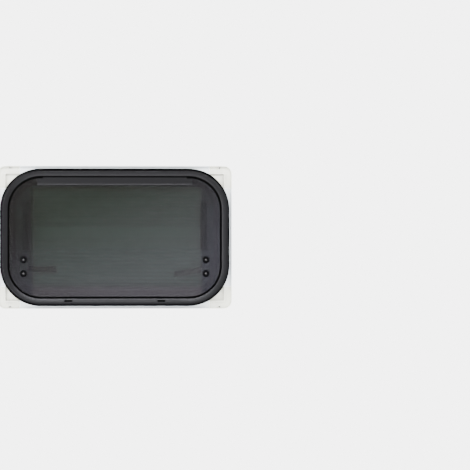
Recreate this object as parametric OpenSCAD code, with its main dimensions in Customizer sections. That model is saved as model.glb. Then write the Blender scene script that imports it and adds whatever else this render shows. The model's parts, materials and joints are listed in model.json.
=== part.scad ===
// Caravan window: an outer frame with a top-hung pane, and an inner frame with a flyscreen and a blind.
// Millimetres. X runs along the window, -Y is outdoors, +Y is the room, Z is up.
// The origin is the middle of the window, on the plane of the outer skin of the wall.

/* [Outer frame] */
// overall width
outer_w = 750; // [720:5:800]
// overall height
outer_h = 450; // [430:5:500]
// radius of the outer corners
outer_r = 133; // [125:1:145]
// how far the flange laps over the wall
flange_lap = 25; // [24:0.5:28]
// height of the ridge above the wall
ridge_h = 14; // [13.5:0.5:16]
// distance of the ridge from the outer edge
ridge_s = 10; // [8.5:0.5:13]
// height of the flange at its outer edge
edge_h = 3.5; // [3:0.5:4.5]
// height of the flange at the rebate
rebate_h = 11.5; // [11:0.5:12.5]
// wall of the frame section
skin_t = 2; // [1.6:0.1:2.2]
// thickness of the lip behind the pane
lip_t = 2; // [1.6:0.1:2.4]
// how far the lip reaches in from the rebate
lip_reach = 27; // [26:0.5:29]
// thickness of the spigot through the wall
spigot_t = 2.5; // [2:0.1:2.8]
// gap between the spigot and the cut-out in the wall
fit_gap = 2; // [1:0.5:2.5]
// thickness of the caravan wall
wall_t = 30; // [27:1:36]
// how far the spigot stops short of the room side
spigot_short = 3; // [2:0.5:5]
// distance of the drain slots from the middle
drain_x = 152; // [80:1:200]
// length of a drain slot
drain_w = 25; // [15:1:35]
// height of a drain slot
drain_h = 4.5; // [3:0.5:5]
// distance of a drain slot from the lower edge
drain_s = 14.5; // [12:0.5:16]

/* [Pane] */
// thickness of the pane
pane_t = 5; // [4:0.5:5.5]
// distance of the pane's inner face from the wall's skin
pane_back = 4; // [3.8:0.1:4.4]
// gap round the sides and the bottom of the pane
pane_gap = 6; // [5:0.5:7]
// gap above the pane
pane_top_gap = 7; // [6.5:0.5:8]
// gap between the pane and its seal when shut
seat_gap = 0.3; // [0.1:0.1:0.5]
// width of the seal's foot
seal_w = 10; // [8:0.5:11]
// distance of the seal from the pane's edge
seal_inset = 2; // [1.5:0.5:4]

/* [Hinge] */
// radius of the hinge bead
bead_r = 1.6; // [1.4:0.1:1.8]
// play between the bead and the claw
bead_play = 0.3; // [0.2:0.05:0.4]
// wall of the claw
claw_t = 1; // [0.8:0.1:1.05]
// distance of the bead's ends from the frame's sides
bead_in = 140; // [138:1:175]
// distance of the strip's ends from the frame's sides
strip_in = 121; // [115:1:135]
// height of the strip on the pane
strip_h = 24; // [18:1:30]
// thickness of the strip
strip_t = 1.8; // [1.4:0.1:2.2]
// height of the rib along the strip
rib_h = 1; // [0.6:0.1:1.4]
// distance of the rib from the top of the strip
rib_z = 20; // [14:0.5:21]
// widest opening of the window, in degrees
open_deg = 45; // [30:1:45]

/* [Stays] */
// depth of the arm's pivot behind the skin
stay_y = 14; // [13:0.5:15]
// depth of the sliding pin when shut
stay_pin_y = 12; // [11.5:0.5:13]
// distance of the track's inner side from the frame's side
track_in = 95; // [93:1:125]
// width of the track
track_w = 22; // [18:1:22]
// distance of the track's top below the hinge
track_drop = 81; // [72:1:97]
// clearance between the track's foot and the latch
track_clear = 22.5; // [18:0.5:27]
// depth of the slot in the track
slot_d = 8; // [6:0.5:10]
// radius of the arm's pins
stay_pin_r = 2.5; // [2:0.1:2.6]
// play round the pins
stay_play = 0.3; // [0.2:0.05:0.4]
// wall of the track beside the slot
track_wall = 2; // [1.6:0.1:2.6]
// thickness of the arm
arm_t = 3; // [2.5:0.1:3.2]
// radius of the arm at its pivot
arm_r = 9; // [7:0.5:10]
// radius of the arm at the sliding pin
arm_end_r = 4.5; // [4:0.1:4.8]
// gap beside the arm
arm_gap = 0.6; // [0.4:0.1:1]
// thickness of the bracket
bracket_t = 3; // [2.5:0.1:3.5]
// height of the bracket
bracket_h = 30; // [24:1:36]

/* [Latches] */
// distance of the latch from the frame's side
latch_in = 77; // [76:1:80]
// how far the spindle lies inward of the fixings
spindle_in = 4; // [2:0.5:5]
// height of the latch's spindle above the foot of the frame
latch_up = 129; // [126:1:135]
// distance between the two fixings of a latch
fixing_gap = 45; // [40:1:48]
// width of the latch base
base_w = 24; // [22:1:25]
// height of the latch base
base_h = 60; // [58:1:62]
// corner radius of the latch base
base_r = 8; // [6:0.5:10]
// thickness of the latch base
base_t = 5; // [4:0.5:5]
// radius of the spindle
spindle_r = 4; // [3:0.1:5]
// play of the lever on its spindle
spindle_play = 0.15; // [0.1:0.05:0.3]
// radius of the lever's hub
hub_r = 9.5; // [9:0.5:10]
// radius of the washer under the lever
washer_r = 8; // [7:0.5:8]
// reach of the handle from the spindle
handle_l = 106; // [95:1:118]
// height of the handle
handle_h = 17; // [14:0.5:19]
// how far the handle hangs under the spindle
handle_drop = 10; // [6:0.5:12]
// thickness of the handle
handle_t = 7; // [5:0.5:8]
// depth of the handle's room side behind the skin
handle_y = 29; // [28.5:0.5:30]
// length of the tongue
tongue_l = 38; // [36:0.5:40]
// width of the tongue
tongue_w = 10; // [8:0.5:12]
// thickness of the tongue
tongue_t = 4; // [3:0.5:5]
// thickness of the keeper
keeper_t = 1.2; // [1:0.1:1.4]
// height of the keeper
keeper_h = 24; // [20:1:30]
// how far the right lever hangs down, in degrees
lever_droop = 12; // [0:1:15]
// radius of a fixing cap
cap_r = 11.25; // [10:0.25:12]
// height of a fixing cap
cap_h = 3.6; // [3:0.1:4.2]
// radius of a fixing's shank
shank_r = 3; // [2.5:0.1:3.2]

/* [Inner frame] */
// how far the inner frame reaches beyond the outer one
inner_over = 10; // [8:0.5:14]
// radius of its outer corners
inner_r = 27; // [22:1:32]
// width of its border
border_w = 60; // [58:1:62]
// radius of the corners of its opening
open_r = 12; // [8:1:12]
// depth of the inner frame
inner_d = 26; // [25:0.5:30]
// wall of the inner frame
shell_t = 2; // [1.6:0.1:2.4]
// rounding of its outer edge
edge_round = 5; // [4:0.5:6]
// depth of the guide pocket beside the opening
pocket_d = 14; // [12:0.5:16]
// clearance behind the guide pocket
back_gap = 4; // [3.6:0.2:4.4]
// length of the corner mouldings
corner_l = 73; // [72:1:80]
// joint line between the mouldings and the rails
joint_gap = 0.3; // [0.2:0.1:0.5]
// distance of a screw hole from the side edge
screw_x = 41; // [38:1:44]
// distance of a screw hole from the top or bottom edge
screw_z = 7; // [7:0.5:9]
// radius of a screw hole
screw_r = 2; // [1.5:0.1:2.4]
// wall round a screw hole
boss_t = 2.5; // [2:0.1:3]
// distance of the bearing rib from its outer edge
rib_s = 24; // [22:0.5:28]
// thickness of the clamp ring
clamp_t = 2; // [1.6:0.1:2.4]
// width of the clamp ring's flange on the wall
clamp_lap = 15; // [12:0.5:18]
// depth of the clamp ring's leg
clamp_leg = 14; // [10:0.5:16]

/* [Screen and blind] */
// top of the flyscreen bar
screen_bar_top = 37; // [30:1:60]
// height of the flyscreen bar
screen_bar_h = 47; // [44:1:50]
// height of the blind bar
blind_bar_h = 27; // [24:1:30]
// wall of the bars
bar_t = 1.8; // [1.4:0.1:2.2]
// depth of the grooves in the bars
groove_d = 1.2; // [0.8:0.1:1.4]
// number of pleats of the flyscreen
screen_pleats = 14; // [10:1:16]
// number of wide pleats of the blind
blind_pleats = 9; // [7:1:11]
// number of gathered pleats of the blind
gathered_pleats = 4; // [3:1:5]
// height of the gathered pleats together
gathered_h = 23; // [20:1:28]
// thickness of the pleated cloth, measured towards the room
cloth_run = 2; // [1.6:0.1:2.4]
// depth of the pleats
pleat_d = 12; // [10:0.5:13]

/* [Hidden] */
$fn = 72;
black = [0.05, 0.05, 0.055];
dark_plastic = [0.08, 0.08, 0.085];
rubber = [0.03, 0.03, 0.03];
tint = [0.22, 0.24, 0.24, 0.75];
metal = [0.7, 0.7, 0.71];
white = [0.89, 0.9, 0.91];
warm_white = [0.88, 0.88, 0.86];
bar_grey = [0.75, 0.74, 0.71];
mesh_black = [0.12, 0.12, 0.13];
beige = [0.81, 0.78, 0.71];

inner_w = outer_w + 2 * inner_over;
inner_h = outer_h + 2 * inner_over;
strip_l = outer_w - 2 * strip_in;
bead_l = outer_w - 2 * bead_in;
track_x = outer_w / 2 - track_in;
latch_x = outer_w / 2 - latch_in;
latch_z = latch_up - outer_h / 2;
lip_in = flange_lap + lip_reach;
lip_back = lip_t / 2;
spigot_s = flange_lap + fit_gap;
spigot_in = spigot_s + spigot_t;
spigot_end = wall_t - spigot_short;
pane_in = -pane_back;
pane_out = pane_in - pane_t;
pane_top = outer_h / 2 - flange_lap - pane_top_gap;
pane_bottom = flange_lap + pane_gap - outer_h / 2;
pane_w = outer_w - 2 * (flange_lap + pane_gap);
pane_r = outer_r - flange_lap - pane_gap;
claw_r = bead_r + bead_play + claw_t;
mouth = open_deg / 2 + 35;
hinge_y = pane_out - 1.4;
hinge_z = outer_h / 2 - flange_lap - claw_r - 0.1;

slot_r = stay_pin_r + stay_play;
track_foot = latch_z + base_h / 2 + track_clear;
pin_drop = hinge_z - track_foot - slot_r - track_wall;
stay_run = pow(stay_y - hinge_y, 2) - pow(stay_pin_y - stay_y, 2);
stay_drop = (pin_drop * pin_drop - stay_run) / (2 * pin_drop);
stay_z = hinge_z - stay_drop;
track_top = hinge_z - track_drop;
stay_l = norm([stay_y - hinge_y, stay_drop]);
stay_beta = atan2(stay_y - hinge_y, stay_drop);
stay_gamma = asin((stay_pin_y - stay_y) / stay_l);
track_tilt = (stay_beta + stay_gamma) / 2;
spread = (stay_beta - stay_gamma) / 2;
pin_far = 2 * stay_l * cos(spread);
pin_near = 2 * stay_l * cos(spread + open_deg);
arm_x = track_x + track_w + 1;
ear_x = arm_x + arm_t + arm_gap;

base_front = pane_in + base_t;
washer_y = base_front + keeper_t;
tongue_y = washer_y + 0.3;
fixings = [latch_z + fixing_gap / 2, latch_z - fixing_gap / 2];

opening_w = inner_w - 2 * border_w;
opening_h = inner_h - 2 * border_w;
room_y = wall_t + inner_d;
pocket_back = wall_t + back_gap + shell_t;
pocket_front = room_y - shell_t;
pocket_y = (pocket_back + pocket_front) / 2;
web_w = opening_w + 2 * pocket_d;
web_h = opening_h + 2 * pocket_d;
cloth_w = web_w - 10;
blind_bar_top = screen_bar_top - screen_bar_h;
blind_top = blind_bar_top - blind_bar_h;
cloth_gap = 0.3;

// Draws in X and Z, and gives thickness from y towards the room
module plan(y = 0) {
    translate([0, y, 0]) rotate([90, 0, 0]) mirror([0, 0, 1]) children();
}

// Draws in Y and Z, and gives thickness from x to the right
module side(x = 0) {
    translate([x, 0, 0]) rotate([90, 0, 90]) children();
}

// The right-hand piece, or its mirror image on the left
module handed(hand) {
    if (hand > 0) children();
    else mirror([1, 0, 0]) children();
}

module rounded(w, h, r) {
    square([w - 2 * r, h], center = true);
    square([w, h - 2 * r], center = true);
    for (x = [-1, 1], y = [-1, 1])
        translate([x * (w / 2 - r), y * (h / 2 - r)]) circle(r);
}

// A section carried round a rounded rectangle: x is outward from it, y is towards the room
module ring(w, h, r) {
    plan() {
        for (turn = [0, 180])
            rotate([0, 0, turn]) translate([w / 2, 0, 0]) rotate([90, 0, 0])
                linear_extrude(h - 2 * r, center = true) children();
        for (turn = [90, 270])
            rotate([0, 0, turn]) translate([h / 2, 0, 0]) rotate([90, 0, 0])
                linear_extrude(w - 2 * r, center = true) children();
        for (c = [[1, 1, 0], [-1, 1, 90], [-1, -1, 180], [1, -1, 270]])
            translate([c[0] * (w / 2 - r), c[1] * (h / 2 - r), 0]) rotate([0, 0, c[2]])
                rotate_extrude(angle = 90) translate([r, 0]) children();
    }
}

// Outer frame
module frame_section() {
    polygon([[0, 0], [0, -edge_h], [-2.5, -edge_h - 4], [4 - ridge_s, 1.6 - ridge_h], [-ridge_s, -ridge_h],
        [-flange_lap, -rebate_h], [-flange_lap, -lip_back], [-lip_in, -lip_back], [-lip_in, lip_back],
        [-spigot_in, lip_back], [-spigot_in, spigot_end], [-spigot_s, spigot_end], [-spigot_s, 0]]);
}

module frame_hollow() {
    t = skin_t;
    fall = (ridge_h - rebate_h) / (flange_lap - ridge_s);
    polygon([[-t - 0.2, -t], [-t - 0.2, 0.5 - edge_h], [-2.5 - 0.85 * t, 0.58 * t - edge_h - 4],
        [4 - ridge_s - 0.65 * t, 1.6 - ridge_h + 0.82 * t], [-ridge_s - 0.1 * t, 1.03 * t - ridge_h],
        [t - flange_lap, 1.02 * t - rebate_h - fall * t], [t - flange_lap, -t]]);
}

module outer_frame() {
    color(black) difference() {
        ring(outer_w, outer_h, outer_r) frame_section();
        ring(outer_w, outer_h, outer_r) frame_hollow();
        for (x = [-drain_x, drain_x])
            translate([x - drain_w / 2, -ridge_h - 1, drain_s - outer_h / 2])
                cube([drain_w, 6, drain_h]);
    }
}

module pane_seal() {
    s = flange_lap + pane_gap + seal_inset;
    tip = pane_in + seat_gap;
    color(rubber) ring(outer_w, outer_h, outer_r)
        polygon([[-s, -lip_back], [-s, -lip_back - 0.8], [-s - 0.3 * seal_w, tip],
            [-s - 0.65 * seal_w, tip], [-s - seal_w, -lip_back - 0.8], [-s - seal_w, -lip_back]]);
}

module clamp_ring() {
    s = spigot_in + cloth_gap;
    color(metal) ring(outer_w, outer_h, outer_r)
        polygon([[-flange_lap + clamp_lap, wall_t], [-flange_lap + clamp_lap, wall_t + clamp_t],
            [-s - clamp_t, wall_t + clamp_t], [-s - clamp_t, wall_t + clamp_t - clamp_leg],
            [-s, wall_t + clamp_t - clamp_leg], [-s, wall_t]]);
}

// Hinge
module hinge_claw() {
    color(black) side(-bead_l / 2) linear_extrude(bead_l) difference() {
        union() {
            translate([hinge_y, hinge_z]) circle(claw_r);
            translate([hinge_y - 0.6, hinge_z + bead_r]) square([7.4, claw_r - bead_r + 0.1]);
        }
        translate([hinge_y, hinge_z]) circle(bead_r + bead_play);
        translate([hinge_y, hinge_z]) rotate(-open_deg / 2)
            polygon([[0, 0], for (a = [-mouth, mouth]) [2 * claw_r * sin(a), -2 * claw_r * cos(a)]]);
    }
}

module hinge_strip() {
    web = 1;
    color(black) {
        side(-strip_l / 2) linear_extrude(strip_l) {
            translate([pane_out - strip_t, pane_top - strip_h]) square([strip_t, strip_h]);
            translate([pane_out - strip_t - rib_h, pane_top - rib_z]) square([rib_h + 0.5, 1.4]);
        }
        side(-bead_l / 2) linear_extrude(bead_l) {
            translate([hinge_y, hinge_z]) circle(bead_r);
            translate([hinge_y - web / 2, pane_top - 2]) square([web, hinge_z - pane_top + 2]);
        }
    }
}

// Sash
module window_pane() {
    h = pane_top - pane_bottom;
    color(tint) plan(pane_out) linear_extrude(pane_t) difference() {
        translate([0, (pane_top + pane_bottom) / 2]) rounded(pane_w, h, pane_r);
        for (x = [-latch_x, latch_x], z = fixings)
            translate([x, z]) circle(shank_r + 0.5);
    }
}

function track_line(z) = hinge_y + (hinge_z - z) * tan(track_tilt);

module stay_track(hand) {
    room = slot_r + track_wall;
    color(dark_plastic) handed(hand) difference() {
        side(track_x) linear_extrude(track_w)
            polygon([[pane_in, track_foot], [track_line(track_foot) + room, track_foot],
                [track_line(track_top) + room, track_top], [pane_in, track_top]]);
        side(track_x + track_w - slot_d) linear_extrude(slot_d + 1)
            translate([hinge_y, hinge_z]) rotate(track_tilt) {
                translate([-slot_r, -pin_far]) square([2 * slot_r, pin_far - pin_near]);
                translate([0, -pin_far]) circle(slot_r);
                translate([0, -pin_near]) circle(slot_r);
            }
    }
}

module stay_arm(hand) {
    color(metal) handed(hand) translate([0, stay_y, stay_z]) rotate([stay_gamma, 0, 0]) {
        side(arm_x) linear_extrude(arm_t) {
            circle(arm_r);
            translate([0, -stay_l]) circle(arm_end_r);
            polygon([[-arm_r, 0], [-arm_end_r, -stay_l], [arm_end_r, -stay_l], [arm_r, 0]]);
        }
        side(arm_x + arm_t - 1) linear_extrude(arm_gap + bracket_t + 1.4) circle(stay_pin_r);
        side(ear_x + bracket_t + 0.4) linear_extrude(2) circle(stay_pin_r + 2);
        side(arm_x + 1 - slot_d) linear_extrude(slot_d) translate([0, -stay_l]) circle(stay_pin_r);
    }
}

// Inner side of the spigot at a height, also where it bends round a corner
function inside_x(z) = outer_w / 2 - outer_r
    + sqrt(pow(outer_r - spigot_in, 2) - pow(max(abs(z) - outer_h / 2 + outer_r, 0), 2));

module stay_bracket(hand) {
    reach = inside_x(stay_z + bracket_h / 2) - 5;
    color(metal) handed(hand) difference() {
        union() {
            side(ear_x) linear_extrude(bracket_t) {
                translate([stay_y, stay_z]) circle(arm_r - 1);
                translate([lip_back, stay_z - bracket_h / 2]) square([bracket_t, bracket_h]);
                polygon([[lip_back, stay_z - bracket_h / 2], [stay_y, stay_z - arm_r + 1],
                    [stay_y, stay_z + arm_r - 1], [lip_back, stay_z + bracket_h / 2]]);
            }
            translate([ear_x, lip_back, stay_z - bracket_h / 2]) cube([reach - ear_x, bracket_t, bracket_h]);
        }
        side(ear_x - 1) linear_extrude(bracket_t + 2)
            translate([stay_y, stay_z]) circle(stay_pin_r + stay_play / 2);
    }
}

// Latches
module latch_base(hand) {
    color(dark_plastic) handed(hand) difference() {
        translate([latch_x, 0, latch_z]) {
            plan(pane_in) linear_extrude(base_t) rounded(base_w, base_h, base_r);
            translate([-spindle_in, 0, 0]) {
                plan(base_front - 1) linear_extrude(keeper_t + 1) circle(washer_r);
                plan(base_front - 1) linear_extrude(handle_y - 3.5 - base_front + 1) circle(spindle_r);
            }
        }
        for (z = fixings)
            translate([latch_x, 0, z]) plan(pane_in - 1) linear_extrude(base_t) circle(shank_r + 0.15);
    }
}

module latch_lever(hand, droop) {
    tip = handle_h / 2;
    color(dark_plastic) handed(hand) translate([latch_x - spindle_in, 0, latch_z]) rotate([0, -droop, 0])
    difference() {
        union() {
            plan(tongue_y) linear_extrude(handle_y - tongue_y) circle(hub_r);
            plan(tongue_y) linear_extrude(tongue_t) {
                translate([-tongue_w / 2, 0]) square([tongue_w, tongue_l - tongue_w / 2]);
                translate([0, tongue_l - tongue_w / 2]) circle(tongue_w / 2);
            }
            plan(handle_y - handle_t) linear_extrude(handle_t) {
                translate([tip - handle_l, -handle_drop - tip]) square([handle_l - tip, handle_h]);
                translate([tip - handle_l, -handle_drop]) circle(tip);
                circle(hub_r);
                translate([0, -handle_drop]) circle(tip);
            }
        }
        plan(tongue_y - 1) linear_extrude(handle_y - 3 - tongue_y + 1) circle(spindle_r + spindle_play);
    }
}

module fixing_cap(hand, z) {
    color(black) handed(hand) translate([latch_x, pane_out, z]) rotate([90, 0, 0]) {
        rotate_extrude()
            polygon([[0, 0], [cap_r, 0], [cap_r, 0.35 * cap_h], [0.86 * cap_r, 0.8 * cap_h],
                [0.6 * cap_r, cap_h], [0.45 * cap_r, cap_h], [0.38 * cap_r, 0.65 * cap_h],
                [0, 0.65 * cap_h]]);
        translate([0, 0, -pane_t - 3]) cylinder(pane_t + 3.5, shank_r, shank_r);
    }
}

module keeper(hand) {
    lip_x = outer_w / 2 - lip_in;
    reach = inside_x(latch_z - keeper_h / 2) - 5;
    color(metal) handed(hand) translate([lip_x + 1, lip_back, latch_z - keeper_h / 2])
        cube([reach - lip_x - 1, keeper_t, keeper_h]);
}

// Inner frame
module cassette_shell() {
    difference() {
        union() {
            plan(wall_t) linear_extrude(inner_d)
                rounded(inner_w - 2 * edge_round, inner_h - 2 * edge_round, inner_r - edge_round);
            ring(inner_w, inner_h, inner_r)
                polygon([[0, wall_t], [0, room_y - edge_round], [-0.3 * edge_round, room_y - 0.3 * edge_round],
                    [-edge_round, room_y], [-edge_round - 1, room_y], [-edge_round - 1, wall_t]]);
        }
        plan(wall_t - 1) linear_extrude(inner_d + 2) rounded(opening_w, opening_h, open_r);
        plan(wall_t - 1) linear_extrude(back_gap + 1) rounded(web_w + 2 * shell_t, web_h + 2 * shell_t, 5);
        plan(pocket_back) linear_extrude(pocket_front - pocket_back) rounded(web_w, web_h, 3);
        plan(wall_t - 1) linear_extrude(inner_d - shell_t + 1) difference() {
            rounded(inner_w - 2 * shell_t, inner_h - 2 * shell_t, inner_r - shell_t);
            rounded(inner_w - 2 * rib_s, inner_h - 2 * rib_s, 5);
        }
        plan(wall_t - 1) linear_extrude(inner_d - shell_t + 1) difference() {
            rounded(inner_w - 2 * (rib_s + shell_t), inner_h - 2 * (rib_s + shell_t), 3);
            rounded(web_w + 2 * shell_t, web_h + 2 * shell_t, 5);
        }
        plan(wall_t - 1) linear_extrude(clamp_t + 1) rounded(inner_w - 2 * rib_s + 1, inner_h - 2 * rib_s + 1, 5);
    }
}

module cassette_rail(x0, z0, w, h) {
    color(white) intersection() {
        cassette_shell();
        translate([x0, wall_t - 1, z0]) cube([w, inner_d + 2, h]);
    }
}

module cassette_corner(right, up) {
    x = right * (inner_w / 2 - screw_x);
    z = up * (inner_h / 2 - screw_z);
    color(warm_white) difference() {
        union() {
            intersection() {
                cassette_shell();
                translate([right > 0 ? inner_w / 2 - corner_l : -inner_w / 2, wall_t - 1,
                        up > 0 ? inner_h / 2 - corner_l : -inner_h / 2])
                    cube([corner_l, inner_d + 2, corner_l]);
            }
            translate([x, 0, z]) plan(wall_t) linear_extrude(inner_d - 1) circle(screw_r + boss_t);
        }
        translate([x, 0, z]) plan(wall_t - 1) linear_extrude(inner_d + 2) circle(screw_r);
    }
}

// Screen and blind
function zigzag(zs, low, high) = [for (i = [0:len(zs) - 1]) [i % 2 == 0 ? low : high, zs[i]]];

module pleats(zs) {
    low = pocket_y - pleat_d / 2;
    high = pocket_y + pleat_d / 2 - cloth_run;
    back = zigzag(zs, low + cloth_run, high + cloth_run);
    side(-cloth_w / 2) linear_extrude(cloth_w)
        polygon(concat(zigzag(zs, low, high), [for (i = [len(zs) - 1:-1:0]) back[i]]));
}

module flyscreen() {
    top = web_h / 2 - cloth_gap;
    low = screen_bar_top + cloth_gap;
    n = 2 * screen_pleats;
    color(mesh_black) pleats([for (i = [0:n]) top + (low - top) * i / n]);
}

module blackout_blind() {
    top = blind_top - cloth_gap;
    low = -web_h / 2 + cloth_gap;
    mid = low + gathered_h;
    n = 2 * blind_pleats;
    m = 2 * gathered_pleats;
    color(beige) pleats(concat([for (i = [0:n]) top + (mid - top) * i / n],
        [for (i = [1:m]) mid + (low - mid) * i / m]));
}

module bar(top, h, grooves) {
    back = pocket_back + 2;
    front = pocket_front - 2;
    foot = top - h + cloth_gap;
    color(bar_grey) {
        difference() {
            side(-cloth_w / 2) linear_extrude(cloth_w)
                polygon([[back, foot], [back, top], [front - 2, top], [front, top - 2],
                    [front, foot + 1], [front - 1, foot]]);
            side(-cloth_w / 2 - 1) linear_extrude(cloth_w + 2)
                translate([back - 1, foot + bar_t])
                    square([front - back - bar_t - groove_d + 1, top - foot - 2 * bar_t]);
            for (g = grooves)
                side(-cloth_w / 2 - 1) linear_extrude(cloth_w + 2)
                    translate([front - groove_d, top - g - 3]) square([groove_d + 1, 3]);
        }
        for (x = [-cloth_w / 2, cloth_w / 2 - 6])
            side(x) linear_extrude(6)
                translate([pocket_back + cloth_gap, foot + 2])
                    square([pocket_front - pocket_back - 2 * cloth_gap, top - foot - 4]);
    }
}

module flyscreen_bar() {
    bar(screen_bar_top, screen_bar_h, [8, 36]);
}

module blind_bar() {
    bar(blind_bar_top, blind_bar_h, [12]);
}

rail_w = inner_w - 2 * corner_l - 2 * joint_gap;
rail_h = inner_h - 2 * corner_l - 2 * joint_gap;

outer_frame();
pane_seal();
hinge_claw();
clamp_ring();
stay_bracket(-1);  // left_stay_bracket
stay_bracket(1);  // right_stay_bracket
keeper(-1);  // left_keeper
keeper(1);  // right_keeper
cassette_rail(-rail_w / 2, inner_h / 2 - border_w - 1, rail_w, border_w + 1);  // cassette_top_rail
cassette_rail(-rail_w / 2, -inner_h / 2, rail_w, border_w + 1);  // cassette_bottom_rail
cassette_rail(-inner_w / 2, -rail_h / 2, border_w + 1, rail_h);  // cassette_left_rail
cassette_rail(inner_w / 2 - border_w - 1, -rail_h / 2, border_w + 1, rail_h);  // cassette_right_rail
cassette_corner(-1, 1);  // top_left_corner
cassette_corner(1, 1);  // top_right_corner
cassette_corner(-1, -1);  // bottom_left_corner
cassette_corner(1, -1);  // bottom_right_corner
flyscreen();
flyscreen_bar();
blind_bar();
blackout_blind();
window_pane();
hinge_strip();
stay_track(-1);  // left_stay_track
stay_track(1);  // right_stay_track
latch_base(-1);  // left_latch_base
latch_base(1);  // right_latch_base
fixing_cap(-1, fixings[0]);  // upper_left_cap
fixing_cap(-1, fixings[1]);  // lower_left_cap
fixing_cap(1, fixings[0]);  // upper_right_cap
fixing_cap(1, fixings[1]);  // lower_right_cap
stay_arm(-1);  // left_stay_arm
stay_arm(1);  // right_stay_arm
latch_lever(-1, 0);  // left_latch_lever
latch_lever(1, lever_droop);  // right_latch_lever
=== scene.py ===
import json
import math
import bmesh
import bpy
from mathutils import Matrix, Vector


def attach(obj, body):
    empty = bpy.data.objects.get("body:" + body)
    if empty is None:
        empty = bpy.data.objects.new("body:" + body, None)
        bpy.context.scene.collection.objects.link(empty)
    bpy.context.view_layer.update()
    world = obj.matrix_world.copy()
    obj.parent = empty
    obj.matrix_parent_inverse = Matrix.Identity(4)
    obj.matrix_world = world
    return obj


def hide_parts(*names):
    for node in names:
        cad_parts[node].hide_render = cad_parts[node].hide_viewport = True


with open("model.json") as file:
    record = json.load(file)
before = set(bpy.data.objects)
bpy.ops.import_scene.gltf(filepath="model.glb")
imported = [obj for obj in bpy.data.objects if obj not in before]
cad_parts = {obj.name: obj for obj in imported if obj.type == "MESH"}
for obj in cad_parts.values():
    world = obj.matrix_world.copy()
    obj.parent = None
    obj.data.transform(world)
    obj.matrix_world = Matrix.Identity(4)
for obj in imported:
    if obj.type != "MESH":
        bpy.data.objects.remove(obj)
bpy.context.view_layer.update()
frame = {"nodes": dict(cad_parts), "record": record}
nodes = frame["nodes"]
scene = bpy.context.scene
mm = 0.001


# small helpers
def finishMesh(name, bm, body, mat, covers=(), angle=35):
    bmesh.ops.recalc_face_normals(bm, faces=bm.faces[:])
    if bm.calc_volume(signed=True) < 0:
        bmesh.ops.reverse_faces(bm, faces=bm.faces[:])
    mesh = bpy.data.meshes.new(name)
    bm.to_mesh(mesh)
    bm.free()
    obj = bpy.data.objects.new(name, mesh)
    scene.collection.objects.link(obj)
    mesh.shade_smooth()
    mesh.set_sharp_from_angle(angle=math.radians(angle))
    mesh.materials.append(mat)
    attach(obj, body)
    if covers:
        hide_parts(*covers)
    return obj


def camelName(nodeName):
    first, *others = nodeName.split("_")
    return first + "".join(word.title() for word in others)


def vertsIn(geom):
    return [g for g in geom if isinstance(g, bmesh.types.BMVert)]


def edgesIn(geom):
    return [g for g in geom if isinstance(g, bmesh.types.BMEdge)]


def inMetres(points):
    return [(a * mm, b * mm) for a, b in points]


def drawnOut(points, offset):
    # a flat outline, extruded along the offset
    bm = bmesh.new()
    face = bm.faces.new([bm.verts.new(p) for p in points])
    out = bmesh.ops.extrude_face_region(bm, geom=[face])["geom"]
    bmesh.ops.translate(bm, verts=vertsIn(out), vec=offset)
    return bm


def ringMesh(section, w, h, r, steps):
    # section goes up the right side, round the corner, along the top and so on
    bm = bmesh.new()
    halfW, halfH = w / 2 - r, h / 2 - r
    verts = [bm.verts.new((w / 2 + u, y, -halfH)) for u, y in section]
    edges = [bm.edges.new((a, b)) for a, b in zip(verts, verts[1:] + verts[:1])]
    turns = [((0, 0, 2 * halfH), (halfW, halfH)), ((-2 * halfW, 0, 0), (-halfW, halfH)),
             ((0, 0, -2 * halfH), (-halfW, -halfH)), ((2 * halfW, 0, 0), (halfW, -halfH))]
    for run, (cx, cz) in turns:
        side = bmesh.ops.extrude_edge_only(bm, edges=edges)["geom"]
        bmesh.ops.translate(bm, verts=vertsIn(side), vec=run)
        spun = bmesh.ops.spin(bm, geom=edgesIn(side), cent=(cx, 0, cz), axis=(0, -1, 0),
                              angle=math.pi / 2, steps=steps, use_merge=False)
        edges = edgesIn(spun["geom_last"])
    bmesh.ops.remove_doubles(bm, verts=bm.verts[:], dist=1e-6)
    return bm


def turnedMesh(profile, steps, closed):
    # profile of radius and height in millimetres, turned about Y
    bm = bmesh.new()
    verts = [bm.verts.new((r, y, 0)) for r, y in inMetres(profile)]
    ends = verts[1:] + verts[:1] if closed else verts[1:]
    edges = [bm.edges.new((a, b)) for a, b in zip(verts, ends)]
    bmesh.ops.spin(bm, geom=edges, cent=(0, 0, 0), axis=(0, 1, 0), angle=2 * math.pi, steps=steps,
                   use_merge=True)
    bmesh.ops.remove_doubles(bm, verts=bm.verts[:], dist=1e-7)
    return bm


def roundCorners(points, sizes, steps=4):
    # each corner of the outline is swapped for an arc that is its size long on both sides
    out = []
    for i, (p, size) in enumerate(zip(points, sizes)):
        if size <= 0:
            out.append(p)
            continue
        p = Vector(p)
        a = p + (Vector(points[i - 1]) - p).normalized() * size
        b = p + (Vector(points[(i + 1) % len(points)]) - p).normalized() * size
        for k in range(steps + 1):
            t = k / steps
            q = a * (1 - t) ** 2 + p * 2 * t * (1 - t) + b * t ** 2
            out.append((q.x, q.y))
    return out


def roundedOutline(w, h, r, steps, middle=0.0):
    # rounded rectangle in X and Z, with the height of its middle
    pts = []
    for sx, sz, start in ((1, 1, 0), (-1, 1, 90), (-1, -1, 180), (1, -1, 270)):
        for k in range(steps + 1):
            a = math.radians(start + 90 * k / steps)
            pts.append((sx * (w / 2 - r) + r * math.cos(a), middle + sz * (h / 2 - r) + r * math.sin(a)))
    return pts


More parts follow.
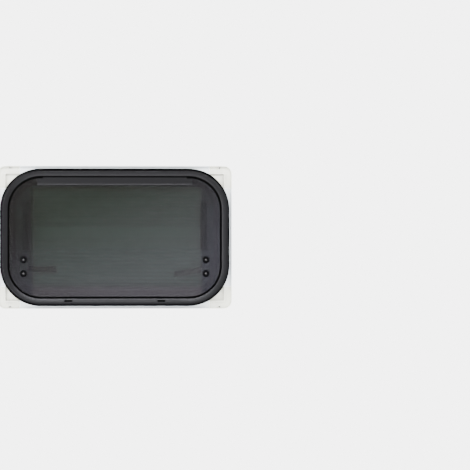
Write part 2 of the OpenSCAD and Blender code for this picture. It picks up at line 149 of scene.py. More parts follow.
def loftMesh(stations, steps):
    # closed body through rounded rectangles, each given as width, height, corner radius and y
    bm = bmesh.new()
    loops = []
    for w, h, r, y in stations:
        loops.append([bm.verts.new((x, y, z)) for x, z in roundedOutline(w, h, r, steps)])
    for a, b in zip(loops, loops[1:] + loops[:1]):
        n = len(a)
        for k in range(n):
            bm.faces.new((a[k], a[(k + 1) % n], b[(k + 1) % n], b[k]))
    return bm


def keepBox(bm, lo, hi):
    # trims the body to a block in X and Z and closes the cuts
    for axis, value, sign in ((0, lo[0], -1), (0, hi[0], 1), (2, lo[1], -1), (2, hi[1], 1)):
        point = [0, 0, 0]
        normal = [0, 0, 0]
        point[axis] = value
        normal[axis] = sign
        out = bmesh.ops.bisect_plane(bm, geom=bm.verts[:] + bm.edges[:] + bm.faces[:], plane_co=point,
                                     plane_no=normal, clear_outer=True, dist=1e-7)
        rims = edgesIn(out["geom_cut"])
        if rims:
            bmesh.ops.edgeloop_fill(bm, edges=rims)
    return bm


def slabMesh(outline, y0, y1, bevel, segments):
    # outline in X and Z, drawn out along Y, both rims rounded
    bm = drawnOut([(x, y0, z) for x, z in outline], (0, y1 - y0, 0))
    rims = [e for e in bm.edges if abs(e.verts[0].co.y - e.verts[1].co.y) < 1e-7]
    bmesh.ops.bevel(bm, geom=rims, offset=bevel, offset_type="OFFSET", affect="EDGES", segments=segments,
                    profile=0.5, material=-1)
    caps = [f for f in bm.faces if len(f.verts) > 8]
    bmesh.ops.inset_individual(bm, faces=caps, thickness=bevel / 2)  # keeps the flat faces flat in shading
    return bm


def addMesh(bm, other):
    mesh = bpy.data.meshes.new("part")
    bmesh.ops.recalc_face_normals(other, faces=other.faces[:])
    other.to_mesh(mesh)
    other.free()
    bm.from_mesh(mesh)
    bpy.data.meshes.remove(mesh)


def addBlock(bm, middle, size):
    bmesh.ops.create_cube(bm, size=1.0, matrix=Matrix.Translation(middle) @ Matrix.Diagonal((*size, 1)))


def blockMesh(boxes):
    # blocks between their low and high corners
    bm = bmesh.new()
    for lo, hi in boxes:
        addBlock(bm, (Vector(lo) + Vector(hi)) / 2, Vector(hi) - Vector(lo))
    return bm


def addPeg(bm, middle, r, length, axis, steps):
    # round bar along Y when turned about X, or along X when turned about Y
    bmesh.ops.create_cone(bm, cap_ends=True, segments=steps, radius1=r, radius2=r, depth=length,
                          matrix=Matrix.Translation(middle) @ Matrix.Rotation(math.pi / 2, 4, axis))


def pegMesh(spots, r, y0, y1):
    # round pegs along Y, each spot given as x and z
    bm = bmesh.new()
    for x, z in spots:
        addPeg(bm, (x, (y0 + y1) / 2, z), r, y1 - y0, "X", 24)
    return bm


def cut(obj, bm, mat):
    # slots and holes, cut with small pieces that are thrown away afterwards
    mesh = bpy.data.meshes.new("cutter")
    bm.to_mesh(mesh)
    bm.free()
    mesh.materials.append(mat)
    cutter = bpy.data.objects.new("cutter", mesh)
    scene.collection.objects.link(cutter)
    mod = obj.modifiers.new("slot", "BOOLEAN")
    mod.object = cutter
    mod.operation = "DIFFERENCE"
    mod.solver = "EXACT"
    mod.material_mode = "TRANSFER"
    done = bpy.data.meshes.new_from_object(obj.evaluated_get(bpy.context.evaluated_depsgraph_get()))
    obj.modifiers.remove(mod)
    obj.data = done
    bpy.data.objects.remove(cutter)


# materials
def addNode(tree, kind, links={}, values={}, **menus):
    # links come from other nodes, values are fixed numbers, menus are the node's own choices
    node = tree.nodes.new(kind)
    for key, choice in menus.items():
        setattr(node, key, choice)
    for key, value in values.items():
        node.inputs[key].default_value = value
    for key, socket in links.items():
        tree.links.new(socket, node.inputs[key])
    return node


def addMath(tree, operation, *terms):
    sockets = {k: term for k, term in enumerate(terms) if isinstance(term, bpy.types.NodeSocket)}
    numbers = {k: term for k, term in enumerate(terms) if k not in sockets}
    return addNode(tree, "ShaderNodeMath", sockets, numbers, operation=operation).outputs["Value"]


def addRange(tree, source, low, high, ends=(0, 1), kind="LINEAR"):
    values = {"From Min": low, "From Max": high, "To Min": ends[0], "To Max": ends[1]}
    spread = addNode(tree, "ShaderNodeMapRange", {"Value": source}, values, interpolation_type=kind)
    return spread.outputs["Result"]


def addRamp(tree, source, stops):
    # each stop is a place along the ramp and a colour
    ramp = addNode(tree, "ShaderNodeValToRGB", {"Fac": source})
    marks = ramp.color_ramp.elements
    for k, (at, color) in enumerate(stops):
        mark = marks[k] if k < len(marks) else marks.new(at)
        mark.position = at
        mark.color = (*color, 1)
    return ramp.outputs["Color"]


def addTint(tree, mask, tone, shade):
    # multiplies the tone by the shade where the mask is 1
    mix = addNode(tree, "ShaderNodeMix", {0: mask, 6: tone}, {7: (*shade, 1)}, data_type="RGBA",
                  blend_type="MULTIPLY")
    return mix.outputs[2]


def shaderOf(mat):
    return mat.node_tree, mat.node_tree.nodes["Principled BSDF"]


def newFinish(name, color, rough, metal=0.0, spec=0.5, edge=1.0, grain=0, bump=0.0, stretch=(1, 1, 1),
              tones=()):
    # grain is the fineness of its noise, which dents the surface and runs between the two tones
    mat = bpy.data.materials.new(name)
    mat.use_nodes = True
    tree, shader = shaderOf(mat)
    for key, value in (("Base Color", (*color, 1)), ("Roughness", rough), ("Metallic", metal),
                       ("Specular IOR Level", spec), ("Specular Tint", (edge, edge, edge, 1))):
        shader.inputs[key].default_value = value
    if grain:
        place = addNode(tree, "ShaderNodeTexCoord")
        spread = addNode(tree, "ShaderNodeMapping", {"Vector": place.outputs["Object"]}, {"Scale": stretch})
        noise = addNode(tree, "ShaderNodeTexNoise", {"Vector": spread.outputs["Vector"]},
                        {"Scale": grain, "Detail": 3})
    if bump:
        dents = addNode(tree, "ShaderNodeBump", {"Height": noise.outputs["Fac"]},
                        {"Strength": bump, "Distance": 0.0001})
        tree.links.new(dents.outputs["Normal"], shader.inputs["Normal"])
    if tones:
        tone = addRamp(tree, noise.outputs["Fac"], zip((0.35, 0.65), tones))
        tree.links.new(tone, shader.inputs["Base Color"])
    return mat


# the coats are metallic with a low edge tint, so that they stay dark where they turn away
blackCoat = newFinish("blackCoat", (0.007, 0.007, 0.0076), 0.24, metal=1.0, edge=0.35, grain=2600, bump=0.2,
                      tones=((0.0062, 0.0062, 0.0067), (0.0075, 0.0075, 0.008)))
capPlastic = newFinish("capPlastic", (0.0016, 0.0016, 0.0018), 0.22, metal=1.0, edge=0.2, grain=1800,
                       bump=0.12)
# near-black matt finish, darker than the coat; it also serves as painted shade in the gap round the pane,
# in the drain slots, in the screw recesses and on the hinge claw
mattShadeBlack = newFinish("mattShadeBlack", (0.0008, 0.0008, 0.0008), 0.6, spec=0.01, grain=2000, bump=0.2)
sealRubber = newFinish("sealRubber", (0.006, 0.006, 0.006), 0.6, spec=0.2, grain=1500, bump=0.3)
darkPlastic = newFinish("darkPlastic", (0.01, 0.01, 0.0105), 0.45, spec=0.25, grain=1700, bump=0.3)
bareMetal = newFinish("bareMetal", (0.16, 0.16, 0.165), 0.4, metal=1.0, grain=300, bump=0.15,
                      stretch=(1, 1, 14))
screwMetal = newFinish("screwMetal", (0.026, 0.026, 0.0265), 0.32, metal=1.0, grain=1200, bump=0.12)
whiteCoat = newFinish("whiteCoat", (0.74, 0.77, 0.79), 0.3, grain=900, bump=0.06,
                      tones=((0.73, 0.76, 0.78), (0.75, 0.78, 0.8)))
warmMoulding = newFinish("warmMoulding", (0.7, 0.705, 0.63), 0.42, grain=1400, bump=0.14,
                         tones=((0.69, 0.695, 0.62), (0.71, 0.715, 0.64)))

# the bars are drawn sections, so their grain runs along them
drawn = {"grain": 300, "bump": 0.06, "stretch": (0.05, 1, 6)}
barCoat = newFinish("barCoat", (0.155, 0.155, 0.132), 0.4, spec=0.25, **drawn,
                    tones=((0.15, 0.15, 0.127), (0.175, 0.175, 0.15)))
# lighter lips: painted highlight
barLip = newFinish("barLip", (0.28, 0.28, 0.255), 0.4, spec=0.25, **drawn,
                   tones=((0.27, 0.27, 0.245), (0.295, 0.295, 0.27)))
# dark grooves: painted shade
barGrooveShade = newFinish("barGrooveShade", (0.04, 0.04, 0.036), 0.6, spec=0.1, grain=600, bump=0.1)
barBack = newFinish("barBack", (0.19, 0.19, 0.187), 0.6, spec=0.1, **drawn)

# tint of the pane: painted light running from dark to light, and painted shade in a soft border at the
# sides and top, at the foot and where the stay tracks sit on the pane
glass = {"dark": (0.007, 0.0062, 0.0052), "light": (0.0246, 0.0232, 0.0258), "clear": (0.6, 0.7, 0.665),
         "side": (0.51, 0.515, 0.6), "foot": (0.84, 0.81, 0.86), "pad": (0.72, 0.72, 0.72),
         "halfWide": 0.27, "aside": 0.008, "up": 0.158, "down": 0.156, "soft": 0.012, "lean": 1.2,
         "fall": 0.17, "density": (0.42, 0.62), "trackShadeSides": ((0.2785, 0.281), (0.3035, 0.301)),
         "trackShadeEnds": ((-0.046, -0.042), (0.1175, 0.1145))}


def glassFinish():
    mat = newFinish("tintedGlass", (0.01, 0.011, 0.011), 0.2, spec=0.06)
    tree, shader = shaderOf(mat)
    coords = addNode(tree, "ShaderNodeTexCoord")
    split = addNode(tree, "ShaderNodeSeparateXYZ", {"Vector": coords.outputs["Object"]})
    across, up = split.outputs["X"], split.outputs["Z"]

    def softStep(source, low, high):
        return addRange(tree, source, low, high, kind="SMOOTHSTEP")

    # painted light: darker towards the top and the left, lighter towards the foot and the right
    fall = addRange(tree, up, glass["fall"], -glass["fall"])
    paintedLight = addMath(tree, "MULTIPLY_ADD", across, glass["lean"], fall)
    tone = addRamp(tree, paintedLight, ((0.03, glass["dark"]), (1.0, glass["light"])))

    wide = addMath(tree, "ABSOLUTE", across)
    shifted = addMath(tree, "SUBTRACT", across, glass["aside"])  # the clear part is a little to the right
    field = addMath(tree, "ABSOLUTE", shifted)
    # painted shade: a soft dark border at the sides and the top, and a weaker one at the foot
    sides = softStep(field, glass["halfWide"], glass["halfWide"] + glass["soft"])
    head = softStep(up, glass["up"], glass["up"] + glass["soft"])
    foot = softStep(up, -glass["down"], -glass["down"] - glass["soft"])
    rim = addMath(tree, "MAXIMUM", sides, head)
    border = addMath(tree, "MAXIMUM", rim, foot)
    # painted shade over the stay tracks on the pane
    pad = softStep(wide, *glass["trackShadeSides"][0])
    pad = addMath(tree, "MULTIPLY", pad, softStep(wide, *glass["trackShadeSides"][1]))
    for span in glass["trackShadeEnds"]:
        pad = addMath(tree, "MULTIPLY", pad, softStep(up, *span))
    for mask, shade in ((foot, "foot"), (rim, "side"), (pad, "pad")):
        tone = addTint(tree, mask, tone, glass[shade])
    tree.links.new(tone, shader.inputs["Base Color"])

    clear = addNode(tree, "ShaderNodeBsdfTransparent", {}, {"Color": (*glass["clear"], 1)})
    # the painted shade of the border also lets less of the inside through
    dense = addRange(tree, border, 0, 1, glass["density"])
    mix = addNode(tree, "ShaderNodeMixShader",
                  {0: dense, 1: clear.outputs["BSDF"], 2: shader.outputs["BSDF"]})
    tree.links.new(mix.outputs["Shader"], tree.nodes["Material Output"].inputs["Surface"])
    return mat


tintedGlass = glassFinish()


def shadeFolds(mat, shade):
    # painted shade: the cloth is darker in its folds, where shade falls
    tree, shader = shaderOf(mat)
    crease = addNode(tree, "ShaderNodeAttribute", attribute_name="fold")
    tone = shader.inputs["Base Color"].links[0].from_socket
    tree.links.new(addTint(tree, crease.outputs["Fac"], tone, shade), shader.inputs["Base Color"])


def softenPleats(mat, keep):
    # turns the shading towards the pane, so that the folds stay faint through the glass
    tree, shader = shaderOf(mat)
    shape = addNode(tree, "ShaderNodeNewGeometry")
    blend = addNode(tree, "ShaderNodeVectorMath", {0: shape.outputs["Normal"]},
                    {1: (keep, keep, keep), 2: (0, keep - 1, 0)}, operation="MULTIPLY_ADD")
    unit = addNode(tree, "ShaderNodeVectorMath", {0: blend.outputs["Vector"]}, operation="NORMALIZE")
    tree.links.new(unit.outputs["Vector"], shader.inputs["Normal"])


def netFinish():
    # woven net with fine holes, painted lighter towards the bar as light that it catches there
    mat = newFinish("meshCloth", (0.012, 0.012, 0.013), 0.8, spec=0.2)
    tree, shader = shaderOf(mat)
    place = addNode(tree, "ShaderNodeTexCoord").outputs["Object"]
    weaveScale = 260 / 2.4
    threads = []
    for axisName in ("X", "Z"):
        wave = addNode(tree, "ShaderNodeTexWave", {"Vector": place}, {"Scale": weaveScale},
                       bands_direction=axisName)
        threads.append(wave.outputs["Fac"])
    solid = addRange(tree, addMath(tree, "MULTIPLY", *threads), 0.2, 0.75, (1.0, 0.96))
    tree.links.new(solid, shader.inputs["Alpha"])
    split = addNode(tree, "ShaderNodeSeparateXYZ", {"Vector": place})
    # painted light, rising towards the bar
    nearBar = addRange(tree, split.outputs["Z"], 0.15, 0.05)
    tone = addRamp(tree, nearBar, ((0.0, (0.015, 0.015, 0.0155)), (1.0, (0.075, 0.076, 0.075))))
    tree.links.new(tone, shader.inputs["Base Color"])
    return mat


meshCloth = netFinish()
blindCloth = newFinish("blindCloth", (0.5, 0.435, 0.29), 0.85, spec=0.2, grain=1400, bump=0.35,
                       stretch=(1, 1, 3), tones=((0.48, 0.418, 0.278), (0.53, 0.465, 0.312)))
# painted shade in the folds of the blind and the net
shadeFolds(blindCloth, (0.25, 0.23, 0.2))
shadeFolds(meshCloth, (0.3, 0.3, 0.3))
silverBack = newFinish("silverBack", (0.222, 0.227, 0.232), 0.8, spec=0.1, grain=1400, stretch=(1, 1, 3),
                       tones=((0.217, 0.222, 0.227), (0.227, 0.232, 0.237)))
screenBack = newFinish("screenBack", (0.226, 0.226, 0.22), 0.8, spec=0.1, grain=1400,
                       tones=((0.221, 0.221, 0.215), (0.231, 0.231, 0.225)))
for mat in (silverBack, screenBack):
    softenPleats(mat, 0.2)
print("materials")

# outer frame: lap over the wall, ridge, bevel down to the rebate, lip and spigot
frameSet = {"w": 0.75, "h": 0.45, "r": 0.133, "lap": 0.025, "steps": 22}
frameLap = [(0, 0), (0, -3.5), (-2.5, -7.5), (-6, -12.4), (-10, -14), (-25, -11.5)]
frameLip = [(-25, -1), (-52, -1), (-52, 1), (-29.5, 1), (-29.5, 27), (-27, 27), (-27, 0)]
lapRounds, lipRounds = [0.4, 1.4, 2.0, 1.9, 2.0, 0.8], [0.5, 0.4, 0.4, 0, 0.4, 0.4, 0]


def frameRing(line, rounds, steps):
    section = inMetres(roundCorners(line, rounds))
    return ringMesh(section, frameSet["w"], frameSet["h"], frameSet["r"], steps)


def insetOf(point):
    # how far a point lies inside the frame's outer edge
    r = frameSet["r"]
    dx, dz = abs(point.x) - (frameSet["w"] / 2 - r), abs(point.z) - (frameSet["h"] / 2 - r)
    return r - (math.hypot(dx, dz) if dx > 0 and dz > 0 else max(dx, dz))


outerMesh = frameRing(frameLap + frameLip, lapRounds + lipRounds, frameSet["steps"])
outerFrame = finishMesh("outerFrame", outerMesh, "body", blackCoat, ["outer_frame"], 40)
# painted shade: the rebate and the lip in the gap round the pane take the near-black matt finish
outerFrame.data.materials.append(mattShadeBlack)  # the rebate and the lip are matt
for face in outerFrame.data.polygons:
    if insetOf(face.center) > frameSet["lap"] - 0.0002 and face.center.y < 0:
        face.material_index = 1
drain = {"x": 0.152, "w": 0.025, "low": -0.2112, "h": 0.006, "deep": -0.009, "front": -0.016}
slots = []
for x in (-drain["x"], drain["x"]):
    low = (x - drain["w"] / 2, drain["front"], drain["low"])
    high = (x + drain["w"] / 2, drain["deep"], drain["low"] + drain["h"])
    slots.append((low, high))
# the walls of the drain slots take the near-black finish as painted shade
cut(outerFrame, blockMesh(slots), mattShadeBlack)
print("outer frame", len(outerFrame.data.polygons))

# seal on the lip behind the pane
sealLine = [(-33, -1), (-33, -1.8), (-36, -3.7), (-39.5, -3.7), (-43, -1.8), (-43, -1)]
finishMesh("paneSeal", frameRing(sealLine, [0, 0.3, 1.2, 1.2, 0.3, 0], 16),
           "body", sealRubber, ["pane_seal"])
print("seal")

# pane
paneSet = {"w": 0.688, "top": 0.193, "bottom": -0.194, "r": 0.102, "out": -0.009, "in": -0.004,
           "bevel": 0.0008}
paneLine = roundedOutline(paneSet["w"], paneSet["top"] - paneSet["bottom"], paneSet["r"], 20,
                          (paneSet["top"] + paneSet["bottom"]) / 2)
paneMesh = slabMesh(paneLine, paneSet["out"], paneSet["in"], paneSet["bevel"], 3)
windowPane = finishMesh("windowPane", paneMesh, "sash", tintedGlass, ["window_pane"])
print("pane", len(windowPane.data.polygons))

# hinge strip with a rib along its foot, as depth in front of the pane and distance below its top
stripSet = {"half": 0.254, "top": 193, "face": -9}
stripLine = [(0, 0), (0, 24), (1.4, 24), (1.8, 23.6), (1.8, 21), (2.2, 20.6), (1.8, 18.2), (1.8, 0.6),
             (1.2, 0)]
stripSection = inMetres([(stripSet["face"] - depth, stripSet["top"] - down) for depth, down in stripLine])
stripMesh = drawnOut([(-stripSet["half"], y, z) for y, z in stripSection], (2 * stripSet["half"], 0, 0))
finishMesh("hingeStrip", stripMesh, "sash", blackCoat, ["hinge_strip"], 8)

# bead that turns in the claw, on its web
beadSet = {"r": 0.0016, "length": 0.47, "y": -0.0104, "z": 0.197, "webZ": 0.1942, "web": (0.001, 0.0045)}
beadMesh = bmesh.new()
addPeg(beadMesh, (0, beadSet["y"], beadSet["z"]), beadSet["r"], beadSet["length"], "Y", 20)
addBlock(beadMesh, (0, beadSet["y"], beadSet["webZ"]), (beadSet["length"], *beadSet["web"]))
finishMesh("hingeBead", beadMesh, "sash", blackCoat)
print("hinge")

# round caps of the latch fixings, turned about their own axis, with the head of the fixing in the middle
capSet = {"x": 0.298, "upper": -0.0735, "lower": -0.1185, "face": -0.009, "head": 0.0034, "steps": 40}
capLine = [(0, -2.3), (2.0, -2.2), (3.4, -1.9), (3.6, -1.7), (4.2, -2.5), (5.0, -3.3), (6.2, -3.6),
           (8.0, -3.45), (9.6, -2.9), (10.8, -1.9), (11.25, -0.9), (11.25, 0)]
for sideSign, sideName in ((-1, "left"), (1, "right")):
    for rowName in ("upper", "lower"):
        x, y, z = sideSign * capSet["x"], capSet["face"], capSet[rowName]
        bm = turnedMesh(capLine, capSet["steps"], closed=False)
        bmesh.ops.translate(bm, verts=bm.verts[:], vec=(x, y, z))
        nodeName = rowName + "_" + sideName + "_cap"
        cap = finishMesh(camelName(nodeName), bm, "sash", capPlastic, [nodeName], 50)
        cap.data.materials.append(screwMetal)
        for face in cap.data.polygons:
            fromAxis = math.hypot(face.center.x - x, face.center.z - z)
            if fromAxis < capSet["head"] and face.center.y < y - 0.001:
                face.material_index = 1
print("caps")

# lever latches: hub on the spindle, tongue behind the keeper, and a handle that gets taller towards its end
leverSet = {"x": 0.294, "z": -0.096, "droop": {"left": 0, "right": 9}, "handle": (0.022, 0.029, 0.0018, 3),
            "tongue": (0.0025, 0.0065, 0.0006, 2), "steps": 36}
handleLine = roundCorners([(-5.5, 4), (-20, -1.6), (-98, 1.8), (-106, -18.5), (-30, -18.5),
                           (-14, -17.5), (-5.5, -11)], [0.5, 9, 4, 5, 0, 5, 2])
tongueLine = roundCorners([(-5, 5), (-5, 38), (5, 38), (5, 5)], [0, 3.5, 3.5, 0])
hubLine = [(4.15, 2.5), (9.1, 2.5), (9.5, 2.9), (9.5, 27.4), (9.2, 28.4), (8.2, 29), (0, 29), (0, 26),
           (4.15, 26)]
for sideSign, sideName in ((-1, "left"), (1, "right")):
    bm = slabMesh(inMetres(handleLine), *leverSet["handle"])
    addMesh(bm, slabMesh(inMetres(tongueLine), *leverSet["tongue"]))
    addMesh(bm, turnedMesh(hubLine, leverSet["steps"], closed=True))
    bmesh.ops.scale(bm, vec=(sideSign, 1, 1), verts=bm.verts[:])
    droop = math.radians(-sideSign * leverSet["droop"][sideName])
    bmesh.ops.rotate(bm, cent=(0, 0, 0), matrix=Matrix.Rotation(droop, 3, "Y"), verts=bm.verts[:])
    bmesh.ops.translate(bm, vec=(sideSign * leverSet["x"], 0, leverSet["z"]), verts=bm.verts[:])
    finishMesh(sideName + "LatchLever", bm, sideName + "_lever", darkPlastic,
               [sideName + "_latch_lever"], 35)
print("levers")

# inner frame: four rails and four corner mouldings trimmed out of one moulded ring
innerSet = {"w": 770, "h": 470, "r": 27, "border": 60, "open": 12, "wall": 30, "face": 56, "corner": 73,
            "joint": 0.3, "edge": 5, "skin": 2, "pocket": 14, "guide": 4, "rib": 24}


def innerStations():
    # from the wall over the outer edge and the face, and back through the pocket and the rib
    wall, face, edge, border = (innerSet[key] for key in ("wall", "face", "edge", "border"))
    skin, rib = innerSet["skin"], innerSet["rib"]
    back, inner, guide = face - skin, border - innerSet["pocket"], wall + innerSet["guide"]
    line = [(0, wall), (0, face - edge)]
    for k in range(1, 7):
        a = math.radians(15 * k)
        line.append((edge * (1 - math.cos(a)), face - edge * (1 - math.sin(a))))
    line += [(edge + 0.4, face), (border - 2, face), (border - 1.6, face), (border - 0.7, face - 0.25),
             (border - 0.2, face - 0.8), (border, face - 1.5), (border, back)]
    line += [(inner, back), (inner, guide + skin), (border, guide + skin), (border, guide),
             (inner - skin, guide), (inner - skin, back), (rib + skin, back), (rib + skin, wall + 2),
             (rib, wall + 2), (rib, back), (skin, back), (skin, wall)]
    out = []
    for inset, y in line:
        r = max(innerSet["r"] - inset, innerSet["open"] if inset > border - 2 else 4)
        out.append(((innerSet["w"] - 2 * inset) * mm, (innerSet["h"] - 2 * inset) * mm, r * mm, y * mm))
    return out


halfW, halfH = innerSet["w"] / 2 * mm, innerSet["h"] / 2 * mm
cornerAt, jointAt = innerSet["corner"] * mm, (innerSet["corner"] + innerSet["joint"]) * mm
beyond = 1.0
innerParts = {
    "cassette_top_rail": ((-halfW + jointAt, 0), (halfW - jointAt, beyond)),
    "cassette_bottom_rail": ((-halfW + jointAt, -beyond), (halfW - jointAt, 0)),
    "cassette_left_rail": ((-beyond, -halfH + jointAt), (0, halfH - jointAt)),
    "cassette_right_rail": ((0, -halfH + jointAt), (beyond, halfH - jointAt)),
    "top_left_corner": ((-beyond, halfH - cornerAt), (-halfW + cornerAt, beyond)),
    "top_right_corner": ((halfW - cornerAt, halfH - cornerAt), (beyond, beyond)),
    "bottom_left_corner": ((-beyond, -beyond), (-halfW + cornerAt, -halfH + cornerAt)),
    "bottom_right_corner": ((halfW - cornerAt, -beyond), (beyond, -halfH + cornerAt)),
}
screwSet = {"x": 0.344, "z": 0.228, "hole": 0.0028, "head": 0.0025, "foot": 0.031, "face": 0.0554,
            "recess": 0.0016, "thin": 0.0004, "deep": 0.0008}
screwSpots = [(sx * screwSet["x"], sz * screwSet["z"]) for sx in (-1, 1) for sz in (-1, 1)]
for nodeName, (lo, hi) in innerParts.items():
    bm = keepBox(loftMesh(innerStations(), 10), lo, hi)
    if not nodeName.endswith("corner"):
        finishMesh(camelName(nodeName), bm, "body", whiteCoat, [nodeName], 32)
        continue
    piece = finishMesh(camelName(nodeName), bm, "body", warmMoulding, [nodeName], 32)
    spot = [(x, z) for x, z in screwSpots if lo[0] < x < hi[0] and lo[1] < z < hi[1]]
    cut(piece, pegMesh(spot, screwSet["hole"], 0.029, 0.06), warmMoulding)
screwMesh = pegMesh(screwSpots, screwSet["head"], screwSet["foot"], screwSet["face"])
screws = finishMesh("cassetteScrews", screwMesh, "body", screwMetal)
deep, arm, thin = screwSet["face"] - screwSet["deep"], screwSet["recess"], screwSet["thin"]
# the walls of the cross recesses take the near-black finish as painted shade
for a, b in ((arm, thin), (thin, arm)):  # cross recess
    slots = [((x - a, deep, z - b), (x + a, 0.057, z + b)) for x, z in screwSpots]
    cut(screws, blockMesh(slots), mattShadeBlack)
print("inner frame")

# bars of the flyscreen and the blind, seen from the room with narrow grooves and a rounded lip
barSet = {"half": 0.334, "back": 38, "front": 52, "wall": 1.8, "tab": 6, "tabMiddle": 0.045,
          "tabDepth": 0.0174, "brush": (0, 0.0375, -0.0098), "brushSize": (0.668, 0.0009, 0.003)}
barParts = {"flyscreen_bar": {"top": 37, "h": 46.7, "grooves": (8.4, 36.5)},
            "blind_bar": {"top": -10, "h": 26.7, "grooves": (12.6,)}}
# the bar's face takes the painted lip highlight above the first and below the second of these heights
barLips = {"flyscreen_bar": (8.5, 38.3), "blind_bar": (0, 14.4)}


def barSection(top, h, grooves):
    back, front, wall = barSet["back"], barSet["front"], barSet["wall"]
    foot, inner = top - h, front - wall - 1.2
    line, sizes = [(back, top), (front, top)], [0, 2.2]
    for g in grooves:
        line += [(front, top - g), (front - 1.5, top - g - 0.3), (front - 1.5, top - g - 1.7),
                 (front, top - g - 2)]
        sizes += [0.5, 0, 0, 0.5]
    line += [(front, foot), (back, foot), (back, foot + wall), (inner, foot + wall), (inner, top - wall),
             (back, top - wall)]
    sizes += [1.6, 0, 0, 0.6, 0.6, 0]
    return inMetres(roundCorners(line, sizes, 3))


for nodeName, data in barParts.items():
    half = barSet["half"]
    bm = drawnOut([(-half, y, z) for y, z in barSection(**data)], (2 * half, 0, 0))
    tabZ = (data["top"] - data["h"] / 2) * mm
    tabSize = (barSet["tab"] * mm, barSet["tabDepth"], (data["h"] - 4) * mm)
    for sign in (-1, 1):  # guide tabs that run in the side pockets
        addBlock(bm, (sign * (half - tabSize[0] / 2), barSet["tabMiddle"], tabZ), tabSize)
    if nodeName == "flyscreen_bar":  # brush that closes the gap to the blind's bar
        addBlock(bm, barSet["brush"], barSet["brushSize"])
    bar = finishMesh(camelName(nodeName), bm, "body", barCoat, [nodeName], 30)
    for mat in (barLip, barGrooveShade, barBack):
        bar.data.materials.append(mat)
    for face in bar.data.polygons:
        down, depth = data["top"] - face.center.z / mm, barSet["front"] - face.center.y / mm
        if abs(face.normal.x) > 0.9 or depth > 2.2:
            face.material_index = 3 if face.normal.y < -0.5 else 0
        # painted shade in the grooves
        elif depth > 0.6 and any(g - 0.4 < down < g + 2.4 for g in data["grooves"]):
            face.material_index = 2
        # painted highlight on the lips
        elif down < barLips[nodeName][0] or down > barLips[nodeName][1]:
            face.material_index = 1
print("bars")

# pleated flyscreen and blackout blind, hung between the top, the bars and the foot of the inner frame
clothSet = {"half": 0.334, "back": 0.038, "front": 0.050, "columns": 60}
screenSet = {"top": 0.1892, "foot": 0.0366, "folds": 28, "sway": 0.0005, "thick": 0.0006}
blindSet = {"top": -0.0364, "middle": -0.15, "foot": -0.1892, "folds": 18, "gathered": 10, "sway": 0.0004,
            "thick": 0.0007}


def pleatSteps(rows):
    # every fold in three steps, each with its depth, its height and its place among the folds
    ends = (clothSet["back"], clothSet["front"])
    steps = []
    for i, (high, low) in enumerate(zip(rows, rows[1:])):
        start, end = ends[i % 2], ends[(i + 1) % 2]
        for k in range(3):
            f = k / 3
            s = f * f * (3 - 2 * f)
            steps.append((start + (end - start) * (0.7 * f + 0.3 * s), high + (low - high) * f, i + f))
    last = len(rows) - 1
    return steps + [(ends[last % 2], rows[-1], last)]


def pleatMesh(name, rows, cloth, mat, backMat, covers):
    # rows are the heights of the folds from the top; the creases wander a little along the cloth
    bm = bmesh.new()
    half, cols = clothSet["half"], clothSet["columns"]
    # the fold weight marks where the painted fold shade goes
    fold = bm.verts.layers.float.new("fold")  # 1 in the valleys that face the room
    layers = [[], []]
    for y, z, at in pleatSteps(rows):
        lines = [[], []]
        free = math.sin(math.pi * min(max((rows[0] - z) / (rows[0] - rows[-1]), 0), 1))
        for c in range(cols + 1):
            x = -half + 2 * half * c / cols
            wander = math.sin(x * 9 + at * 0.7) + 0.6 * math.sin(x * 21 + at * 1.9) - 1.2 * x / half
            for line, side in zip(lines, (0.5, -0.5)):
                line.append(bm.verts.new((x, y + side * cloth["thick"], z + cloth["sway"] * free * wander)))
                line[-1][fold] = max(0.0, 1 - 2.1 * min(at % 2, 2 - at % 2))
        for grid, line in zip(layers, lines):
            grid.append(line)
    for which, grid in enumerate(layers):
        for a, b in zip(grid, grid[1:]):
            for c in range(cols):
                bm.faces.new((a[c], a[c + 1], b[c + 1], b[c])).material_index = which
    rims = []
    for grid in layers:
        right, left = [line[-1] for line in grid[1:]], [line[0] for line in grid[-2:0:-1]]
        rims.append(grid[0] + right + grid[-1][-2::-1] + left)
    for k in range(len(rims[0])):
        bm.faces.new((rims[0][k - 1], rims[0][k], rims[1][k], rims[1][k - 1]))
    obj = finishMesh(name, bm, "body", mat, covers, 30)
    obj.data.materials.append(backMat)  # the side that faces the pane
    return obj


def evenRows(top, foot, folds):
    return [top + (foot - top) * i / folds for i in range(folds + 1)]


screenRows = evenRows(screenSet["top"], screenSet["foot"], screenSet["folds"])
blindRows = evenRows(blindSet["top"], blindSet["middle"], blindSet["folds"])
blindRows += evenRows(blindSet["middle"], blindSet["foot"], blindSet["gathered"])[1:]
flyScreen = pleatMesh("flyScreen", screenRows, screenSet, meshCloth, screenBack,
                      ["flyscreen"])
blackoutBlind = pleatMesh("blackoutBlind", blindRows, blindSet, blindCloth, silverBack,
                          ["blackout_blind"])
print("cloth", len(flyScreen.data.polygons), len(blackoutBlind.data.polygons))

# every other CAD node takes its finish directly
plain = {"white_coat": whiteCoat, "warm_moulding": warmMoulding, "bar_coat": barCoat,
         "bare_metal": bareMetal, "dark_plastic": darkPlastic, "black_coat": blackCoat,
         "seal_rubber": sealRubber, "screen_mesh": meshCloth, "blackout_cloth": blindCloth,
         "tinted_glass": tintedGlass}
slotOf = {s["node"]: s["material_slot"] for s in frame["record"]["subparts"]}
for name, obj in nodes.items():
    obj.data.materials.clear()
    # the hinge claw in the dark gap above the strip takes the near-black finish as painted shade
    obj.data.materials.append(mattShadeBlack if name == "hinge_claw" else plain[slotOf[name]])

# floor
floorMesh = bmesh.new()
bmesh.ops.create_grid(floorMesh, x_segments=1, y_segments=1, size=2,
                      matrix=Matrix.Translation((0, 0, -1.6)))
floorData = bpy.data.meshes.new("floor")
floorMesh.to_mesh(floorData)
floorMesh.free()
floor = bpy.data.objects.new("floor", floorData)
scene.collection.objects.link(floor)
floorData.materials.append(newFinish("floorMat", (0.86, 0.86, 0.86), 0.7))

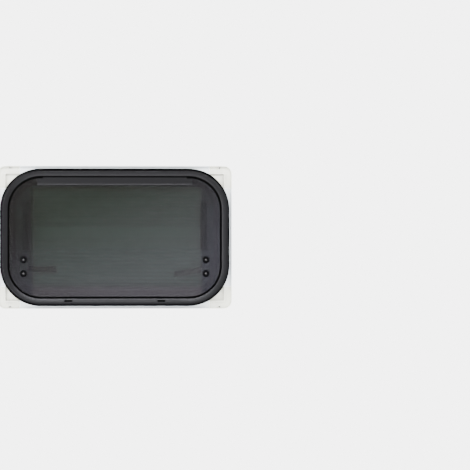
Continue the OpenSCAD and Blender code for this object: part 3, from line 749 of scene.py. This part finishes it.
# studio: bright round the horizon, dimmer above and dark below, with three strips in front and one
# light behind
studio = {"strength": 5.5, "stops": ((0.12, 0.02), (0.26, 1.0), (0.66, 1.0), (0.8, 0.3))}
world = bpy.data.worlds.new("studio")
world.use_nodes = True
sky = world.node_tree
coords = addNode(sky, "ShaderNodeTexCoord")
split = addNode(sky, "ShaderNodeSeparateXYZ", {"Vector": coords.outputs["Generated"]})
level = addRange(sky, split.outputs["Z"], -1, 1)
glow = addRamp(sky, level, [(at, (grey, grey, grey)) for at, grey in studio["stops"]])
sky.links.new(glow, sky.nodes["Background"].inputs["Color"])
sky.nodes["Background"].inputs["Strength"].default_value = studio["strength"]
scene.world = world


def areaLight(name, place, size, power):
    data = bpy.data.lights.new(name, "AREA")
    data.shape = "RECTANGLE"
    data.size, data.size_y = size
    data.energy = power
    light = bpy.data.objects.new(name, data)
    light.location = place
    light.rotation_euler = (-Vector(place)).to_track_quat("-Z", "Y").to_euler()  # towards the window
    scene.collection.objects.link(light)


areaLight("topStrip", (0.3, -3.0, 1.1), (3.2, 0.14), 160)
areaLight("footStrip", (0.0, -3.0, -1.05), (3.2, 0.3), 50)
areaLight("leftStrip", (-1.2, -3.0, 0.3), (0.14, 2.4), 100)
areaLight("roomLight", (-1.0, 2.0, 1.4), (1.4, 1.0), 14)

# camera: straight on, turned so that the frame lies where the photograph has it, in pixels of its size
photo = {"size": 470, "frameWide": 229.1, "centre": (114.85, 237.31), "lens": 200, "sensor": 36}
camera = bpy.data.objects.new("camera", bpy.data.cameras.new("camera"))
scene.collection.objects.link(camera)
zoom = photo["lens"] / photo["sensor"]
wide = frameSet["w"] * photo["size"] / photo["frameWide"]
aside, rise = (math.atan((c / photo["size"] - 0.5) / zoom) for c in photo["centre"])
camera.data.lens = photo["lens"]
camera.data.sensor_width = photo["sensor"]
camera.data.clip_end = 60
camera.location = (0, -0.01 - wide * zoom, 0)
camera.rotation_euler = (math.pi / 2 + rise, 0, aside)
scene.camera = camera
print("floor, light and camera")
